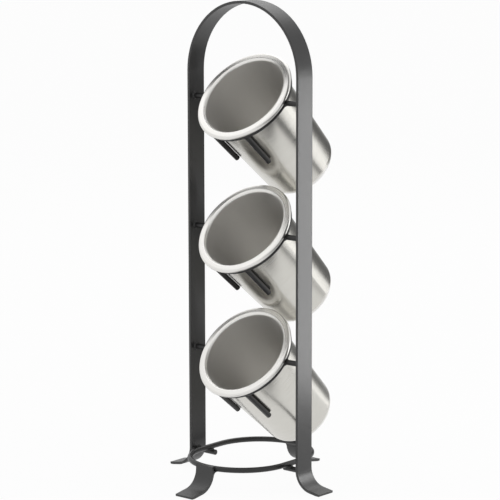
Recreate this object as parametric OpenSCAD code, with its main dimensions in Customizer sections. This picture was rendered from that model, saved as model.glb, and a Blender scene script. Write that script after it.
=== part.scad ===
// Countertop flatware organizer: three tapered steel cylinders tilted in a flat bar arch.
// Each cylinder hangs by its rolled rim in a rod ring and lies on two rod prongs.
// The origin is the centre of the footprint on the floor; the mouths face -Y.

/* [Cylinders] */
// Outer radius of the rolled rim
rim_r = 61; // [55:0.1:66]
// Width of the rolled rim, from the wall to its edge
rim_w = 8.9; // [8.5:0.1:10]
// Height of the rolled rim
rim_h = 5.8; // [5:0.1:6.5]
// Length of a cylinder from rim to bottom
cup_l = 143.4; // [125:0.1:165]
// Taper of the wall on each side, in degrees
wall_taper = 3.5; // [3:0.1:4]
// Outer radius of the corner round the bottom
bottom_r = 15; // [10:0.5:20]
// Radius of the rounded mouth edge
mouth_r = 3.4; // [2.5:0.1:3.5]
// Thickness of the steel sheet
sheet_t = 1; // [0.8:0.1:1.2]
// Slot between the rolled edge and the wall
hem_gap = 0.5; // [0.4:0.1:0.8]

/* [Stock] */
// Width of the flat bar
bar_w = 25.4; // [20:0.1:30]
// Thickness of the flat bar
bar_t = 3.1; // [2.5:0.1:4]
// Diameter of all the round rod
rod_d = 6.35; // [5.5:0.05:7]

/* [Arch] */
// Room between a rim and the upright beside it
side_gap = 19.6; // [16:0.1:28]
// Rise of the straight uprights above the top ring's centre
handle_rise = 29.8; // [20:0.1:60]

/* [Tiers] */
// Rise of the cylinders above the horizontal, in degrees
tilt = 41.65; // [40:0.05:43]
// Height from the bottom ring to the middle one, as a share of the rim's diameter
lower_pitch_share = 1.195; // [1.17:0.005:1.35]
// Height from the middle ring to the top one, as a share of the rim's diameter
upper_pitch_share = 1.256; // [1.17:0.001:1.35]
// Height of the bottom cylinder's lowest point above the base ring
base_gap = 1.2; // [0.3:0.1:6]
// Distance of the ring centres in front of the arch's middle
ring_forward = 3.2; // [0:0.1:6]

/* [Holders] */
// Clearance between a cylinder and its holder
cup_gap = 0.3; // [0.2:0.05:0.6]
// Length of a prong from the middle of the ring's rod, as a share of the cylinder's length
prong_share = 0.38; // [0.3:0.001:0.6]
// Angle of each prong from the lowest line of the cylinder, in degrees
prong_angle = 27.5; // [22:0.5:34]
// Depth of the cope where a rod's end meets a ring or a bend
weld_cope = 1; // [0.5:0.1:1.5]

/* [Base] */
// Distance from an upright's inner face to the middle of the base ring's rod
base_inset = 19.3; // [15:0.1:24]
// Distance of a ring foot from the plane of the uprights' inner faces, about the ring's centre
foot_inset = 0.8; // [0:0.1:4]
// Distance of the base ring's centre behind the arch's middle
base_back = 2.7; // [0:0.1:4]
// Rise of the base ring's middle above the radius of the feet's bends
base_rise = 3.9; // [3:0.1:10]
// Length of a base rod past the middle of the ring's rod
stub_past = 7.7; // [4:0.1:24]
// Depth of the cope where a rod or bar lies along the base ring
seat_cope = 0.3; // [0.2:0.05:0.5]

/* [Feet] */
// Reach of every foot past the uprights' inner faces
foot_throw = 34.4; // [33:0.1:50]
// Outer radius of the bend above each foot
foot_bend_r = 24; // [18:0.5:26]
// Slope of the foot tips to the floor, in degrees
foot_slope = 9; // [6:0.5:12]
// Length of each tip that is dressed flat to the floor
foot_flat = 4; // [2:0.5:5]

/* [Hidden] */
$fn = 96;
powder_black = [0.11, 0.11, 0.12];
steel_grey = [0.76, 0.75, 0.73];
rod_r = rod_d / 2;
wall_r = rim_r - rim_w;
upright_x = rim_r + side_gap;
arch_r = upright_x + bar_t;
base_ring_x = upright_x - base_inset;
base_foot_x = upright_x - foot_inset;
// The base ring is longer than wide: its end arcs stand apart by a straight on each side
base_half = base_foot_x + seat_cope - rod_r - base_ring_x;
base_ring_z = foot_bend_r + base_rise;
base_stub_l = base_inset + stub_past;
base_stub_z = base_ring_z - rod_d + seat_cope;
foot_reach = upright_x + foot_throw;
foot_turn = 90 - foot_slope;
lean = 90 - tilt;
prong_l = cup_l * prong_share;
// Rings and prongs stand off the tapered wall by the clearance
ring_depth = rim_h + cup_gap + rod_r;
ring_r = wall_at(ring_depth) + (rod_r + cup_gap) / cos(wall_taper);
// Centre of the arc round the bottom corner, from the axis and from the rim plane
corner_depth = cup_l - bottom_r;
corner_x = wall_at(corner_depth) - bottom_r / cos(wall_taper);
// Centre of the rounded mouth edge, from the axis
mouth_x = wall_at(mouth_r) + (mouth_r - sheet_t) / cos(wall_taper);
// The rolled edge is a half circle as high as the rim
roll_r = rim_h / 2;
roll_x = rim_r - roll_r;
hem_x = wall_at(rim_h - sheet_t) + hem_gap;
// Ring centres: the bottom cylinder clears the base ring, and the others follow
corner_fall = (corner_depth - ring_depth) * sin(tilt) + corner_x * cos(tilt) + bottom_r;
bottom_z = base_ring_z + rod_r + base_gap + corner_fall;
middle_z = bottom_z + 2 * rim_r * lower_pitch_share;
top_z = middle_z + 2 * rim_r * upper_pitch_share;
spring_z = top_z + handle_rise;
frame_h = spring_z + arch_r;
// Front and back reach, which set the middle of the footprint
foot_end = foot_reach + (bar_t - foot_flat * sin(foot_slope)) * sin(foot_slope);
rim_y = -ring_forward - ring_depth * cos(tilt);
cup_end = rim_y + corner_depth * cos(tilt) + corner_x * sin(tilt) + bottom_r;
plan_shift = (foot_end - max(foot_end, cup_end)) / 2;
// Overrun of every cut past the faces it leaves open
over = bar_t;

// Outer radius of the cylinder wall at a depth below the rim plane
function wall_at(depth) = wall_r - depth * tan(wall_taper);

// Point on a circle at an angle
function on_arc(centre, r, angle) = centre + [r * cos(angle), r * sin(angle)];

// Centre of the bend above a foot, from the inner face of its bar, in side view
function bend_centre(x) = [
    x + foot_bend_r,
    (foot_bend_r + (foot_reach - foot_flat - x - foot_bend_r) * sin(foot_slope)) / cos(foot_slope)
];

// Reach of the square end of a foot, at a height above the floor
function end_at(z) = foot_reach + z * tan(foot_slope);

// Moves the frame's middle so that the footprint is centred on the origin
module on_plan() {
    translate([0, plan_shift, 0])
        children();
}

// Places a holder and its cylinder: the rim plane becomes the local ground
module at_tier(z) {
    translate([0, plan_shift - ring_forward, z])
        rotate([lean, 0, 0])
            translate([0, 0, ring_depth])
                children();
}

// Area outside a flared bar in side view, bounded by its bend at a radius
module flare_side(x, r) {
    centre = bend_centre(x);
    bend_end = on_arc(centre, r, 180 + foot_turn);
    translate(centre)
        circle(r = r);
    polygon([
        centre - [r, 0],
        bend_end,
        on_arc(bend_end, frame_h, -foot_slope),
        [frame_h, frame_h],
        [centre.x - r, frame_h]
    ]);
}

// Area inside the arch and under its feet, for one face of the bar
module arch_side(arch, bend, fall) {
    difference() {
        union() {
            translate([0, spring_z])
                circle(r = arch);
            polygon([
                [-end_at(-fall), -fall],
                [end_at(-fall), -fall],
                [end_at(spring_z), spring_z],
                [-end_at(spring_z), spring_z]
            ]);
        }
        for (side = [0, 1])
            mirror([side, 0])
                flare_side(upright_x, bend);
    }
}

// Bar of the flat stock's width, from its side view
module bar() {
    rotate([90, 0, 0])
        linear_extrude(height = bar_w, center = true)
            children();
}

// Ring of round rod, lying flat
module rod_ring(r) {
    rotate_extrude()
        translate([r, 0])
            circle(r = rod_r);
}

// Long ring of round rod that joins the feet: two end arcs and two straight sides
module long_ring() {
    translate([0, base_back, base_ring_z]) {
        for (end = [0, 1])
            mirror([0, end, 0])
                translate([0, base_half, 0])
                    rotate_extrude(angle = 180)
                        translate([base_ring_x, 0])
                            circle(r = rod_r);
        for (side = [-1, 1])
            translate([side * base_ring_x, 0, 0])
                rotate([90, 0, 0])
                    cylinder(h = 2 * base_half, r = rod_r, center = true);
    }
}

// Foot that is welded to an end of the base ring, flaring to -Y or to +Y
module ring_foot(side) {
    x = base_foot_x + side * base_back;
    top = base_ring_z + rod_r;
    difference() {
        rotate([0, 0, side * 90])
            bar()
                difference() {
                    intersection() {
                        flare_side(x, foot_bend_r);
                        polygon([
                            [0, 0],
                            [end_at(0), 0],
                            [end_at(top), top],
                            [0, top]
                        ]);
                    }
                    flare_side(x, foot_bend_r - bar_t);
                }
        long_ring();
    }
}

// Arch of flat bar with its two flared feet
module arch() {
    bar()
        difference() {
            arch_side(arch_r, foot_bend_r - bar_t, 0);
            arch_side(upright_x, foot_bend_r, over);
        }
}

// Rod from the upright inwards, under the base ring, coped to the bend above the foot
module base_stub(side) {
    start = upright_x + weld_cope;
    difference() {
        translate([side * start, 0, base_stub_z])
            rotate([0, -side * 90, 0])
                cylinder(h = base_stub_l + weld_cope, r = rod_r);
        long_ring();
        arch();
    }
}

// Ring that the rolled rim rests on
module holder_ring() {
    translate([0, 0, -ring_depth])
        rod_ring(ring_r);
}

// Rod between the holder ring and the upright
module holder_stub(side) {
    start = ring_r + rod_r - weld_cope;
    difference() {
        translate([side * start, 0, -ring_depth])
            rotate([0, side * 90, 0])
                cylinder(h = upright_x - start, r = rod_r);
        holder_ring();
    }
}

// Rod that runs back from the holder ring along the tapered wall
module holder_prong(side) {
    start = rod_r - weld_cope;
    difference() {
        rotate([0, 0, side * prong_angle - 90])
            translate([ring_r, 0, -ring_depth])
                rotate([0, 180 + wall_taper, 0])
                    translate([0, 0, start])
                        cylinder(h = prong_l - start, r = rod_r);
        holder_ring();
    }
}

// Half section of the space inside a cylinder, open past the rim
module cup_space() {
    corner = [corner_x, -corner_depth];
    mouth = [mouth_x, -mouth_r];
    wall_end = on_arc(mouth, mouth_r, 180 + wall_taper);
    difference() {
        union() {
            translate(corner)
                circle(r = bottom_r - sheet_t);
            polygon([
                [0, sheet_t - cup_l],
                [corner_x, sheet_t - cup_l],
                on_arc(corner, bottom_r - sheet_t, -wall_taper),
                wall_end,
                [mouth_x, wall_end.y],
                [mouth_x, over],
                [0, over]
            ]);
        }
        translate(mouth)
            circle(r = mouth_r);
    }
}

// Half section of a cylinder: bottom, corner, tapered wall, rounded mouth, flat lip
module cup_section() {
    corner = [corner_x, -corner_depth];
    mouth = [mouth_x, -mouth_r];
    difference() {
        union() {
            translate(corner)
                circle(r = bottom_r);
            polygon([
                [0, -cup_l],
                [corner_x, -cup_l],
                on_arc(corner, bottom_r, -wall_taper),
                on_arc(mouth, mouth_r - sheet_t, 180 + wall_taper),
                [mouth_x, -sheet_t],
                [roll_x, -sheet_t],
                [roll_x, 0],
                [0, 0]
            ]);
        }
        translate(mouth)
            circle(r = mouth_r - sheet_t);
        cup_space();
    }
}

// Half section of the rolled edge, from the lip round and back towards the wall
module roll_section() {
    difference() {
        union() {
            translate([roll_x, -roll_r])
                circle(r = roll_r);
            translate([hem_x, -rim_h])
                square([roll_x - hem_x, roll_r]);
        }
        translate([roll_x, -roll_r])
            circle(r = roll_r - sheet_t);
        translate([hem_x - over, sheet_t - rim_h])
            square([roll_x - hem_x + over, rim_h - 2 * sheet_t]);
    }
}

// Tapered cylinder with its rim plane on the local ground
module cup() {
    rotate_extrude() {
        cup_section();
        roll_section();
    }
}

module arch_frame() {
    color(powder_black)
        on_plan()
            arch();
}

module base_ring() {
    color(powder_black)
        on_plan()
            long_ring();
}

module base_stub_left() {
    color(powder_black)
        on_plan()
            base_stub(-1);
}

module base_stub_right() {
    color(powder_black)
        on_plan()
            base_stub(1);
}

module front_foot() {
    color(powder_black)
        on_plan()
            ring_foot(-1);
}

module rear_foot() {
    color(powder_black)
        on_plan()
            ring_foot(1);
}

module top_ring() {
    color(powder_black)
        at_tier(top_z)
            holder_ring();
}

module top_stub_left() {
    color(powder_black)
        at_tier(top_z)
            holder_stub(-1);
}

module top_stub_right() {
    color(powder_black)
        at_tier(top_z)
            holder_stub(1);
}

module top_prong_left() {
    color(powder_black)
        at_tier(top_z)
            holder_prong(-1);
}

module top_prong_right() {
    color(powder_black)
        at_tier(top_z)
            holder_prong(1);
}

module top_cylinder() {
    color(steel_grey)
        at_tier(top_z)
            cup();
}

module middle_ring() {
    color(powder_black)
        at_tier(middle_z)
            holder_ring();
}

module middle_stub_left() {
    color(powder_black)
        at_tier(middle_z)
            holder_stub(-1);
}

module middle_stub_right() {
    color(powder_black)
        at_tier(middle_z)
            holder_stub(1);
}

module middle_prong_left() {
    color(powder_black)
        at_tier(middle_z)
            holder_prong(-1);
}

module middle_prong_right() {
    color(powder_black)
        at_tier(middle_z)
            holder_prong(1);
}

module middle_cylinder() {
    color(steel_grey)
        at_tier(middle_z)
            cup();
}

module bottom_ring() {
    color(powder_black)
        at_tier(bottom_z)
            holder_ring();
}

module bottom_stub_left() {
    color(powder_black)
        at_tier(bottom_z)
            holder_stub(-1);
}

module bottom_stub_right() {
    color(powder_black)
        at_tier(bottom_z)
            holder_stub(1);
}

module bottom_prong_left() {
    color(powder_black)
        at_tier(bottom_z)
            holder_prong(-1);
}

module bottom_prong_right() {
    color(powder_black)
        at_tier(bottom_z)
            holder_prong(1);
}

module bottom_cylinder() {
    color(steel_grey)
        at_tier(bottom_z)
            cup();
}

arch_frame();
base_ring();
base_stub_left();
base_stub_right();
front_foot();
rear_foot();
top_ring();
top_stub_left();
top_stub_right();
top_prong_left();
top_prong_right();
top_cylinder();
middle_ring();
middle_stub_left();
middle_stub_right();
middle_prong_left();
middle_prong_right();
middle_cylinder();
bottom_ring();
bottom_stub_left();
bottom_stub_right();
bottom_prong_left();
bottom_prong_right();
bottom_cylinder();
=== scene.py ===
"""Looks of the flatware organizer: materials, weld metal, studio and camera round the part."""

import math

import bmesh
import bpy
from mathutils import Matrix, Vector


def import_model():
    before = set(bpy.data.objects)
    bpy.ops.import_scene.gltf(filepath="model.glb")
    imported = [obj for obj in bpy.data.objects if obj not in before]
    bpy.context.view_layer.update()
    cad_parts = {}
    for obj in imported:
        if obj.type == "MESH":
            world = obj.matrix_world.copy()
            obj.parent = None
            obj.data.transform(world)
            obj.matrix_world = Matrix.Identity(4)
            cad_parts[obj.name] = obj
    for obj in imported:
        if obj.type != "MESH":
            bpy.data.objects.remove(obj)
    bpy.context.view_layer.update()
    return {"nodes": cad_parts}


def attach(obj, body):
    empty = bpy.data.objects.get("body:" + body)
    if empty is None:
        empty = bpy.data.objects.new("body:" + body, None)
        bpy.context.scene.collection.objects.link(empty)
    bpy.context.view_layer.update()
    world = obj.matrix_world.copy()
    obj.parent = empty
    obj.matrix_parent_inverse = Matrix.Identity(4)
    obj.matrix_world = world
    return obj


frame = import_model()
nodes = frame["nodes"]

# ---------------------------------------------------------------- sizes of the part, in mm
MM = 0.001
TILT = math.radians(41.65)
WALL_TAPER, PRONG_ANGLE = math.radians(3.5), math.radians(27.5)
PLAN_SHIFT = -2.4217
TIERS = ("top", "middle", "bottom")
SIDES = ((-1, "left"), (1, "right"))
RIM_Y = -12.55
RIM_Z = {"top": 453.462, "middle": 300.230, "bottom": 154.440}
RING_Z = {"top": 447.298, "middle": 294.066, "bottom": 148.276}
RING_Y, RING_R = PLAN_SHIFT - 3.2, 55.014
ROD_R = 3.175
UPRIGHT_X, BAR_HALF = 80.6, 12.7
FOOT_BEND_R, FOOT_REACH, FOOT_FLAT, FOOT_SLOPE = 24.0, 115.0, 4.0, math.radians(9)
BEND_Z = (
    FOOT_BEND_R + (FOOT_REACH - FOOT_FLAT - UPRIGHT_X - FOOT_BEND_R) * math.sin(FOOT_SLOPE)
) / math.cos(FOOT_SLOPE)
BASE_Z, BASE_R, BASE_HALF, BASE_BACK, BASE_STUB_Z = 27.9, 61.3, 15.625, 2.7, 21.85
RING_FOOT_Y = 79.8
X_AXIS, Z_AXIS = Vector((1, 0, 0)), Vector((0, 0, 1))
MOUTH_DIR = Vector((0, -math.cos(TILT), math.sin(TILT)))
LOCAL_UP = Vector((0, math.sin(TILT), math.cos(TILT)))


# ---------------------------------------------------------------- camera
def camera():
    """The photograph's camera, in radians, mm and pixels of its 500 pixel frame."""
    azimuth, drop, roll = math.radians(40.84), math.radians(9.72), -0.002
    distance, side, height = 2738.4, -1.775, 269.53
    focal, centre_px, frame_px = 2361.8, (247.754, 252.322), 500.0
    level = math.cos(drop)
    forward = Vector((-math.sin(azimuth) * level, math.cos(azimuth) * level, -math.sin(drop)))
    right = Vector((math.cos(azimuth), math.sin(azimuth), 0))
    place = Vector((0, PLAN_SHIFT, height)) - forward * distance + right * side
    up = right.cross(forward)
    right, up = (
        right * math.cos(roll) + up * math.sin(roll),
        up * math.cos(roll) - right * math.sin(roll),
    )
    data = bpy.data.cameras.new("camera")
    data.sensor_width = 36.0
    data.lens = focal / frame_px * data.sensor_width
    data.shift_x = (frame_px / 2 - centre_px[0]) / frame_px
    data.shift_y = (centre_px[1] - frame_px / 2) / frame_px
    data.clip_start, data.clip_end = 0.05, 60
    cam = bpy.data.objects.new("camera", data)
    bpy.context.scene.collection.objects.link(cam)
    turn = Matrix((right, up, -forward)).transposed().to_4x4()
    cam.matrix_world = Matrix.Translation(place * MM) @ turn
    bpy.context.scene.camera = cam


# ---------------------------------------------------------------- node helpers
class Tree:
    """Short names for building a node tree."""

    def __init__(self, tree):
        self.t = tree
        self.t.nodes.clear()

    def node(self, kind, **values):
        n = self.t.nodes.new(kind)
        for k, v in values.items():
            setattr(n, k, v)
        return n

    def put(self, socket, value):
        if isinstance(value, bpy.types.NodeSocket):
            self.t.links.new(value, socket)
        else:
            socket.default_value = value

    def fill(self, n, *values):
        for s, v in zip(n.inputs, values):
            self.put(s, v)
        return n.outputs[0]

    def math(self, op, a, b=0.0):
        return self.fill(self.node("ShaderNodeMath", operation=op), a, b)

    def times(self, a, b):
        return self.math("MULTIPLY", a, b)

    def plus(self, a, b):
        return self.math("ADD", a, b)

    def minus(self, a, b):
        return self.math("SUBTRACT", a, b)

    def vector(self, op, a, b):
        n = self.node("ShaderNodeVectorMath", operation=op)
        self.fill(n, a, b)
        return n.outputs["Value" if op == "DOT_PRODUCT" else "Vector"]

    def join(self, x, y, z):
        return self.fill(self.node("ShaderNodeCombineXYZ"), x, y, z)

    def noise(self, vector, scale, detail, rough=0.5):
        n = self.node("ShaderNodeTexNoise")
        self.put(n.inputs["Vector"], vector)
        self.put(n.inputs["Scale"], scale)
        self.put(n.inputs["Detail"], detail)
        self.put(n.inputs["Roughness"], rough)
        return n.outputs["Fac"]

    def between(self, value, lo, hi, a=0.0, b=1.0, smooth=True):
        kind = "SMOOTHSTEP" if smooth else "LINEAR"
        n = self.node("ShaderNodeMapRange", interpolation_type=kind)
        return self.fill(n, value, lo, hi, a, b)

    def mix(self, fac, a, b, blend="MIX"):
        n = self.node("ShaderNodeMix", data_type="RGBA", blend_type=blend)
        self.put(n.inputs[0], fac)
        self.put(n.inputs[6], a)
        self.put(n.inputs[7], b)
        return n.outputs[2]

    def mix_shader(self, fac, a, b):
        return self.fill(self.node("ShaderNodeMixShader"), fac, a, b)

    def bump(self, height, distance, strength, normal=None):
        n = self.node("ShaderNodeBump")
        self.put(n.inputs["Height"], height)
        self.put(n.inputs["Distance"], distance)
        self.put(n.inputs["Strength"], strength)
        if normal is not None:
            self.put(n.inputs["Normal"], normal)
        return n.outputs[0]


def bare_material(name):
    m = bpy.data.materials.new(name)
    m.use_nodes = True
    t = Tree(m.node_tree)
    return m, t, t.node("ShaderNodeOutputMaterial").inputs["Surface"]


def material(name):
    m, t, surface = bare_material(name)
    shader = t.node("ShaderNodeBsdfPrincipled")
    t.put(surface, shader.outputs[0])
    return m, t, shader.inputs


def grey(v, tint=(1, 1, 1)):
    return (v * tint[0], v * tint[1], v * tint[2], 1)


# ---------------------------------------------------------------- materials, in metres
COAT_TINT = (1.0, 0.985, 0.99)
EASED_EDGE = 0.0006

STEEL_ROUGH, INSIDE_ROUGH, RIM_ROUGH = 0.23, 0.41, 0.27
STEEL_DARK, STEEL_LIGHT = grey(0.60, (1.0, 0.98, 0.915)), grey(0.67, (1.0, 0.98, 0.92))
# the inner-face tone is painted light: a lighter base colour than the outside sheet, standing in
# for light bounced round inside the cylinders
RIM_TONE, INSIDE_PAINTED_LIGHT_TONE = grey(0.76, (1.0, 0.985, 0.95)), grey(0.84, (1.0, 0.985, 0.955))
WALL_R = 0.0521
INNER_EDGE = (0.0003, 0.0007)
BOTTOM_DEPTH = (0.1422, 0.1428)
LIP_DEPTH = (0.0035, 0.006)
LINE_STRETCH = 0.012


def powder_coat(name, base, rough, shine):
    """Satin powder coat with a fine orange peel and slightly eased edges."""
    m, t, s = material(name)
    place = t.node("ShaderNodeTexCoord").outputs["Object"]
    fine = t.noise(place, 1400, 3.0, 0.6)
    cloud = t.noise(place, 22, 3.0, 0.55)
    grain = t.noise(place, 5200, 1.0)
    tone = t.between(cloud, 0.3, 0.7, 0.88, 1.14)
    shade = t.fill(t.node("ShaderNodeCombineColor"), tone, tone, tone)
    t.put(s["Base Color"], t.mix(1.0, grey(base, COAT_TINT), shade, "MULTIPLY"))
    uneven = t.between(fine, 0.3, 0.7, rough - 0.04, rough + 0.05)
    t.put(s["Roughness"], t.plus(uneven, t.times(cloud, 0.04)))
    s["Specular IOR Level"].default_value = shine
    eased = t.node("ShaderNodeBevel", samples=6)
    eased.inputs["Radius"].default_value = EASED_EDGE
    peel = t.bump(fine, 0.00004, 0.5, eased.outputs[0])
    t.put(s["Normal"], t.bump(grain, 0.00001, 0.35, peel))
    return m


def stainless(name, rim):
    """Satin sheet with fine lines round its axis, rougher inside and painted lighter inside as
    painted light; rim is the rim plane's centre.
    """
    m, t, s = material(name)
    coord = t.node("ShaderNodeTexCoord").outputs["Object"]
    place = t.vector("SUBTRACT", coord, rim)
    across = t.vector("DOT_PRODUCT", place, (1, 0, 0))
    upward = t.vector("DOT_PRODUCT", place, LOCAL_UP)
    depth = t.times(t.vector("DOT_PRODUCT", place, MOUTH_DIR), -1.0)
    radius = t.math("SQRT", t.plus(t.math("POWER", across, 2.0), t.math("POWER", upward, 2.0)))

    # 1 on the inner face, which is rougher and is painted lighter there as painted light, and 1 on
    # the rim
    wall = t.minus(WALL_R, t.times(depth, math.tan(WALL_TAPER)))
    inner = t.between(t.minus(wall, radius), *INNER_EDGE)
    inner = t.times(inner, t.between(depth, *BOTTOM_DEPTH, 1.0, 0.0))
    lip = t.times(t.between(depth, *LIP_DEPTH, 1.0, 0.0), t.minus(1.0, inner))

    # noise drawn out round the axis into lines
    thin_x, thin_y = t.times(across, LINE_STRETCH), t.times(upward, LINE_STRETCH)
    lines = t.join(thin_x, thin_y, t.minus(depth, radius))
    hair = t.noise(lines, 3600, 2.0, 0.65)
    band = t.noise(lines, 520, 2.0, 0.5)
    cloud = t.noise(coord, 21, 3.0, 0.5)

    tone = t.between(t.plus(t.times(hair, 0.7), t.times(band, 0.3)), 0.3, 0.7)
    sheet = t.mix(lip, t.mix(tone, STEEL_DARK, STEEL_LIGHT), RIM_TONE)
    # painted light: the inner face gets the lighter inside tone in place of light bounced round
    # inside the cylinder
    t.put(s["Base Color"], t.mix(inner, sheet, INSIDE_PAINTED_LIGHT_TONE))
    s["Metallic"].default_value = 1.0
    rough = t.between(band, 0.3, 0.7, STEEL_ROUGH - 0.02, STEEL_ROUGH + 0.02)
    rough = t.plus(rough, t.times(cloud, 0.04))
    rough = t.plus(rough, t.times(inner, INSIDE_ROUGH - STEEL_ROUGH))
    t.put(s["Roughness"], t.plus(rough, t.times(lip, RIM_ROUGH - STEEL_ROUGH)))
    s["Anisotropic"].default_value = 0.45
    round_y, round_z = t.times(across, LOCAL_UP.y), t.times(across, LOCAL_UP.z)
    round_it = t.join(t.times(upward, -1.0), round_y, round_z)
    normal = t.node("ShaderNodeNewGeometry").outputs["Normal"]
    t.put(s["Tangent"], t.vector("CROSS_PRODUCT", round_it, normal))
    t.put(s["Normal"], t.bump(hair, 0.000003, 0.25))
    return m


# rods and weld metal carry the same black powder coat as the bar; their darker base colours (0.012
# and 0.014 against 0.020) are painted shade that makes them read darker
bar_coat = powder_coat("black_powder_bar", 0.020, 0.36, 0.65)
rod_coat = powder_coat("black_powder_rod", 0.012, 0.36, 0.5)
weld_coat = powder_coat("black_powder_weld", 0.014, 0.38, 0.5)
steel = {t: stainless("satin_stainless_" + t, Vector((0, RIM_Y, RIM_Z[t])) * MM) for t in TIERS}

for name, obj in nodes.items():
    if name.endswith("cylinder"):
        coat = steel[name.split("_")[0]]
    elif name in ("arch_frame", "front_foot", "rear_foot"):
        coat = bar_coat
    else:
        coat = rod_coat
    obj.data.materials.clear()
    obj.data.materials.append(coat)


# ---------------------------------------------------------------- weld metal, in mm
# steps across a section, and sections round a fillet
SECTION_STEPS = 7
TEE_SECTIONS, COLLAR_SECTIONS, NECK_SECTIONS = 48, 40, 56
# how far along a rod the ring's surface is looked for, and its share of the rod's radius
TEE_SEARCH, TEE_HALVINGS, SUNK = 8.0, 24, 0.997
# the neck's reach past a rod, its width as a share of the rod's radius, its corner and its core
NECK_REACH, NECK_WIDTH, NECK_CORNER, NECK_CORE = 2.6, 0.9, 1.9, 0.5
# the bead under the ring: out along the ring, down the foot, and its top below the ring's middle
BEAD_REACH, BEAD_DROP, BEAD_TOP = 4.2, 4.6, 2.0
# the bead over the ring: half its length, steps each way, and where on the rod it starts and ends
OVER_HALF, OVER_STEPS, OVER_ANGLES = 12.3, 11, (math.radians(78), math.radians(8))


def skin(name, loops, closed=True):
    """A body from equal cross-sections in order along a weld, each a closed ring of points."""
    bm = bmesh.new()
    rows = [[bm.verts.new(p * MM) for p in loop] for loop in loops]
    count = len(rows[0])
    for i in range(len(rows) if closed else len(rows) - 1):
        a, b = rows[i], rows[(i + 1) % len(rows)]
        for k in range(count):
            bm.faces.new((a[k], a[(k + 1) % count], b[(k + 1) % count], b[k]))
    if not closed:
        bm.faces.new(rows[0])
        bm.faces.new(rows[-1][::-1])
    bmesh.ops.recalc_face_normals(bm, faces=bm.faces)
    for face in bm.faces:
        face.smooth = True
    mesh = bpy.data.meshes.new(name)
    bm.to_mesh(mesh)
    bm.free()
    mesh.materials.append(weld_coat)
    obj = bpy.data.objects.new(name, mesh)
    bpy.context.scene.collection.objects.link(obj)
    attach(obj, "stand")


def section(start, corner, end, core, index, hollow=0.72):
    """A fillet from start to end that sags towards the corner, closed through the core.

    The index makes it a little fuller or thinner than the one beside it."""
    middle = (start + end) / 2
    pull = middle.lerp(corner, hollow)
    out = (middle - corner).normalized() if (middle - corner).length > 1e-6 else Vector()
    swell = 0.05 * math.sin(index * 1.9) + 0.03 * math.sin(index * 0.7 + 1)
    points = []
    for k in range(SECTION_STEPS + 1):
        u = k / SECTION_STEPS
        p = start * (1 - u) ** 2 + pull * (2 * u * (1 - u)) + end * u ** 2
        points.append(p + out * swell * 4 * u * (1 - u))
    points.append(core)
    return points


def on_ring(p, centre, normal, radius):
    """The nearest core point of a ring's rod, and the nearest point on the rod's surface."""
    away = p - centre
    away = away - normal * away.dot(normal)
    core = centre + away.normalized() * radius
    return core, core + (p - core).normalized() * ROD_R


def tee(name, ring, origin, away, along, across):
    """Fillets where a rod that leaves a ring's core at origin, along away, meets the ring's rod."""
    centre, normal, _ = ring
    tangent = normal.cross(origin - centre).normalized()
    other = away.cross(tangent).normalized()
    loops = []
    for i in range(TEE_SECTIONS):
        a = 2 * math.pi * i / TEE_SECTIONS
        line = origin + (tangent * math.cos(a) + other * math.sin(a)) * ROD_R * SUNK
        low, high = 0.0, TEE_SEARCH
        for _ in range(TEE_HALVINGS):
            half = (low + high) / 2
            p = line + away * half
            if (p - on_ring(p, *ring)[0]).length < ROD_R:
                low = half
            else:
                high = half
        corner = line + away * high
        size = max(0.05, abs(math.cos(a)) ** 0.7)
        spread = math.copysign(across * size, math.cos(a))
        end = on_ring(corner + tangent * spread, *ring)[1]
        core = corner - away * 0.6 - (line - origin) * 0.3
        loops.append(section(corner + away * along * size, corner, end, core, i))
    skin(name, loops)


def face_x(z):
    """How far out the inner face of an upright is at a height, with the bend above its foot."""
    drop = max(0.0, BEND_Z - z)
    return UPRIGHT_X + FOOT_BEND_R - math.sqrt(FOOT_BEND_R ** 2 - drop ** 2)


def collar(name, side, y, z, along, across):
    """A fillet round a rod's end on the inner face of an upright."""
    out = X_AXIS * side
    loops = []
    for i in range(COLLAR_SECTIONS):
        a = 2 * math.pi * i / COLLAR_SECTIONS
        ring = [
            Vector((0, y + r * math.cos(a), z + r * math.sin(a)))
            for r in (ROD_R, ROD_R + across, ROD_R - 1)
        ]
        root, foot, core = (p + out * face_x(p.z) for p in ring)
        loops.append(section(root - out * along, root, foot, core + out * 0.3, i))
    skin(name, loops)


def crossing(name, side):
    """Weld metal in the neck between a base rod and the base ring that lies across it."""
    middle = (BASE_Z + BASE_STUB_Z) / 2
    shift = Vector((side * BASE_R, PLAN_SHIFT, 0))
    loops = []
    for i in range(NECK_SECTIONS):
        a = 2 * math.pi * i / NECK_SECTIONS
        c, s = math.cos(a), math.sin(a)
        reach, low_y, up_x = ROD_R + NECK_REACH, NECK_WIDTH * ROD_R * s, NECK_WIDTH * ROD_R * c
        low = Vector((reach * c, low_y, BASE_STUB_Z + math.sqrt(ROD_R ** 2 - low_y ** 2)))
        up = Vector((up_x, reach * s, BASE_Z - math.sqrt(ROD_R ** 2 - up_x ** 2)))
        corner, core = (Vector((r * c, r * s, middle)) for r in (NECK_CORNER, NECK_CORE))
        loops.append([p + shift for p in section(low, corner, up, core, i, 0.55)])
    skin(name, loops)


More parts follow.
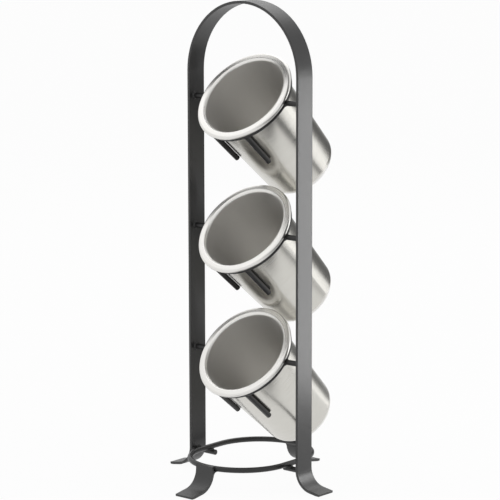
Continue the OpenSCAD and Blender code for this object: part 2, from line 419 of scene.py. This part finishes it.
def foot_beads(name, side):
    """The bead under the base ring round a ring foot, and the one in the groove above it."""
    face = RING_FOOT_Y + side * BASE_BACK
    arc = BASE_HALF + side * BASE_BACK
    ring = (Vector((0, arc, BASE_Z)), Z_AXIS, BASE_R)

    def placed(points):
        return [Vector((p.x, side * p.y + PLAN_SHIFT, p.z)) for p in points]

    # stations along the bead from one edge of the foot to the other:
    # across, inward from the face, the way out of the foot (two numbers) and the bead's size
    turns = [math.radians(q) for q in (0, 30, 60, 90)]
    path = [(BAR_HALF, 1.9 - 0.38 * k, 1.0, 0.0, k / 5) for k in range(5)]
    path += [(BAR_HALF, 0.0, math.cos(q), -math.sin(q), 1.0) for q in turns]
    path += [(BAR_HALF * k / 9, 0.0, 0.0, -1.0, 1.0) for k in range(8, -1, -1)]
    path += [(-x, u, -nx, nu, w) for x, u, nx, nu, w in path[-2::-1]]
    loops = []
    for i, (x, u, nx, nu, w) in enumerate(path):
        root, out = Vector((x, face + u, 0)), Vector((nx, nu, 0))
        size = 0.25 + 0.75 * w
        reach = BEAD_REACH * size * (1.0 if abs(nx) > 0.5 else 0.75)
        corner = on_ring(root + Z_AXIS * (BASE_Z - 2.2), *ring)[1]
        end = on_ring(root + out * reach + Z_AXIS * (BASE_Z - ROD_R), *ring)[1]
        start = root + Z_AXIS * (BASE_Z - BEAD_TOP - BEAD_DROP * size)
        bend = Vector((root.x, root.y, min(corner.z, BASE_Z - 2.4)))
        core = root - out * 0.8 + Z_AXIS * (BASE_Z - BEAD_TOP)
        loops.append(placed(section(start, bend, end, core, i, 0.7)))
    skin(name + "_bead_under", loops, closed=False)

    loops = []
    for i in range(2 * OVER_STEPS + 1):
        x = OVER_HALF * (i - OVER_STEPS) / OVER_STEPS
        high, low = (
            Vector((
                x,
                arc + math.sqrt((BASE_R + ROD_R * math.cos(q)) ** 2 - x * x),
                BASE_Z + ROD_R * math.sin(q),
            ))
            for q in OVER_ANGLES
        )
        lip = Vector((x, face + 0.2, BASE_Z + ROD_R - 0.02))
        seat = Vector((x, face + 0.2, BASE_Z + 0.4))
        sag = (high + lip) / 2 - Z_AXIS * (0.25 + 0.06 * math.sin(i * 1.7))
        loops.append(placed((high, high.lerp(sag, 0.6), sag, sag.lerp(lip, 0.4), lip, seat, low)))
    skin(name + "_bead_over", loops, closed=False)


def welds():
    for tier in TIERS:
        centre = Vector((0, RING_Y, RING_Z[tier]))
        ring = (centre, MOUTH_DIR, RING_R)
        for side, word in SIDES:
            out = X_AXIS * side
            tee(f"{tier}_{word}_stub_fillet", ring, centre + out * RING_R, out, 3.2, 4.2)
            collar(f"{tier}_{word}_stub_collar", side, RING_Y, RING_Z[tier], 1.7, 1.7)
            turn = side * PRONG_ANGLE - math.pi / 2
            outward = X_AXIS * math.cos(turn) + LOCAL_UP * math.sin(turn)
            back = -MOUTH_DIR * math.cos(WALL_TAPER) - outward * math.sin(WALL_TAPER)
            tee(f"{tier}_{word}_prong_fillet", ring, centre + outward * RING_R, back, 1.8, 1.8)
    for side, word in SIDES:
        collar(f"base_{word}_stub_collar", side, PLAN_SHIFT, BASE_STUB_Z, 1.7, 1.7)
        crossing(f"base_{word}_stub_neck", side)
    foot_beads("front_foot", -1)
    foot_beads("rear_foot", 1)


welds()

# ---------------------------------------------------------------- studio, in metres
FLOOR_REACH, FLOOR_PAINT, FLOOR_WHITE = 9.0, 0.86, 0.95
# where the far floor starts: the way to it, how far along that, and half the width of its edge
FLOOR_ENDS = (((0.966, 0.26, 0), 0.58, 0.02), ((0.5, 0.866, 0), 1.25, 0.2))
FAR_FLOOR = 0.17
FAR_NEAR_EDGE = (math.radians(56), math.radians(80))
FAR_LAST_EDGE = (math.radians(100), math.radians(140))
FAR_TOP = (0.35, 0.65)
FAR_TONE = 0.13
ROOM = 1.0
AMBIENT = 0.62
LAMP_CENTRE = Vector((0, 0, 0.3))


def floor():
    """A pale floor, white to the camera and to polished metal, which sees its far part darker."""
    mesh = bpy.data.meshes.new("floor")
    square = ((-1, -1), (1, -1), (1, 1), (-1, 1))
    corners = [(x * FLOOR_REACH, y * FLOOR_REACH, 0) for x, y in square]
    mesh.from_pydata(corners, [], [(0, 1, 2, 3)])
    obj = bpy.data.objects.new("floor", mesh)
    bpy.context.scene.collection.objects.link(obj)
    m, t, surface = bare_material("floor_white")
    diffuse = t.node("ShaderNodeBsdfDiffuse")
    diffuse.inputs["Color"].default_value = grey(FLOOR_PAINT)
    path = t.node("ShaderNodeLightPath")
    place = t.node("ShaderNodeTexCoord").outputs["Object"]
    ends = [
        t.between(t.vector("DOT_PRODUCT", place, way), end - soft, end + soft)
        for way, end, soft in FLOOR_ENDS
    ]
    beyond = t.times(t.math("MAXIMUM", *ends), path.outputs["Is Glossy Ray"])
    white = t.node("ShaderNodeEmission")
    t.put(white.inputs["Strength"], t.between(beyond, 0.0, 1.0, 1.0, FAR_FLOOR, smooth=False))
    ray = t.math("MAXIMUM", path.outputs["Is Camera Ray"], path.outputs["Is Glossy Ray"])
    ray = t.math("MAXIMUM", ray, path.outputs["Is Transmission Ray"])
    shown = t.times(ray, FLOOR_WHITE)
    t.put(surface, t.mix_shader(shown, diffuse.outputs[0], white.outputs[0]))
    mesh.materials.append(m)


def world():
    """White to the camera, a room with a darker far side to polished metal, else soft light."""
    w = bpy.data.worlds.new("studio")
    bpy.context.scene.world = w
    w.use_nodes = True
    t = Tree(w.node_tree)
    out = t.node("ShaderNodeOutputWorld")
    path = t.node("ShaderNodeLightPath")
    axes = t.node("ShaderNodeSeparateXYZ")
    t.put(axes.inputs[0], t.node("ShaderNodeTexCoord").outputs["Generated"])
    x, y, z = axes.outputs

    def background(strength):
        n = t.node("ShaderNodeBackground")
        n.inputs["Color"].default_value = (1, 1, 1, 1)
        t.put(n.inputs["Strength"], strength)
        return n.outputs[0]

    # the far side lies behind the object and to its right, from the horizon up
    azimuth = t.math("ARCTAN2", y, x)
    far = t.between(azimuth, *FAR_NEAR_EDGE)
    far = t.times(far, t.between(azimuth, *FAR_LAST_EDGE, 1.0, 0.0))
    far = t.times(far, t.between(z, *FAR_TOP, 1.0, 0.0))
    room = t.between(far, 0.0, 1.0, ROOM, FAR_TONE, smooth=False)
    lit = t.mix_shader(path.outputs["Is Glossy Ray"], background(AMBIENT), background(room))
    seen = t.math("MAXIMUM", path.outputs["Is Camera Ray"], path.outputs["Is Transmission Ray"])
    t.put(out.inputs["Surface"], t.mix_shader(seen, lit, background(1.0)))


def aimed(azimuth, rise, distance):
    """A place at an azimuth from +X towards +Y and an angle above the horizon."""
    a, e = math.radians(azimuth), math.radians(rise)
    away = Vector((math.cos(a) * math.cos(e), math.sin(a) * math.cos(e), math.sin(e)))
    return LAMP_CENTRE + away * distance


def softbox(name, place, aim, size, level):
    """An area lamp; its level is how bright its face is, where 1 is white."""
    data = bpy.data.lights.new(name, "AREA")
    data.shape = "RECTANGLE"
    data.size, data.size_y = size
    data.energy = level * math.pi * size[0] * size[1]
    obj = bpy.data.objects.new(name, data)
    bpy.context.scene.collection.objects.link(obj)
    obj.location = place
    obj.rotation_mode = "QUATERNION"
    obj.rotation_quaternion = (Vector(aim) - Vector(place)).to_track_quat("-Z", "Y")
    obj.visible_camera = False
    return obj


def link_lamps(name, state, *lamps):
    """Lamps that light the arch alone, or with the state EXCLUDE all but the arch."""
    group = bpy.data.collections.new(name)
    group.objects.link(nodes["arch_frame"])
    group.collection_objects[0].light_linking.link_state = state
    for lamp in lamps:
        lamp.light_linking.receiver_collection = group


# name, place, aim, width and height of the face, level
LAMPS = (
    ("overhead", aimed(165, 52, 2.2), LAMP_CENTRE, (2.0, 1.6), 0.45),
    ("front", aimed(240, 42, 2.4), LAMP_CENTRE, (1.2, 1.2), 0.35),
    ("side", (0.484, 0.645, 0.33), (0.189, 0.241, 0.33), (0.34, 0.6), 1.32),
    ("side_low", (0.244, 0.794, 0.1), (0.05, 0.07, 0.1), (0.2, 0.2), 0.9),
    ("side_strip", (0.244, 0.189, 0.265), (0.08, 0.0, 0.265), (0.06, 0.42), 9.0),
    ("back", aimed(116, 38, 2.4), (0, 0, 0.4), (1.4, 1.0), 1.2),
)

camera()
floor()
world()
lamps = {lamp[0]: softbox(*lamp) for lamp in LAMPS}
link_lamps("all_but_bars", "EXCLUDE", lamps["side"], lamps["side_low"])
link_lamps("bars", "INCLUDE", lamps["side_strip"])

bpy.context.scene.view_settings.view_transform = "Standard"
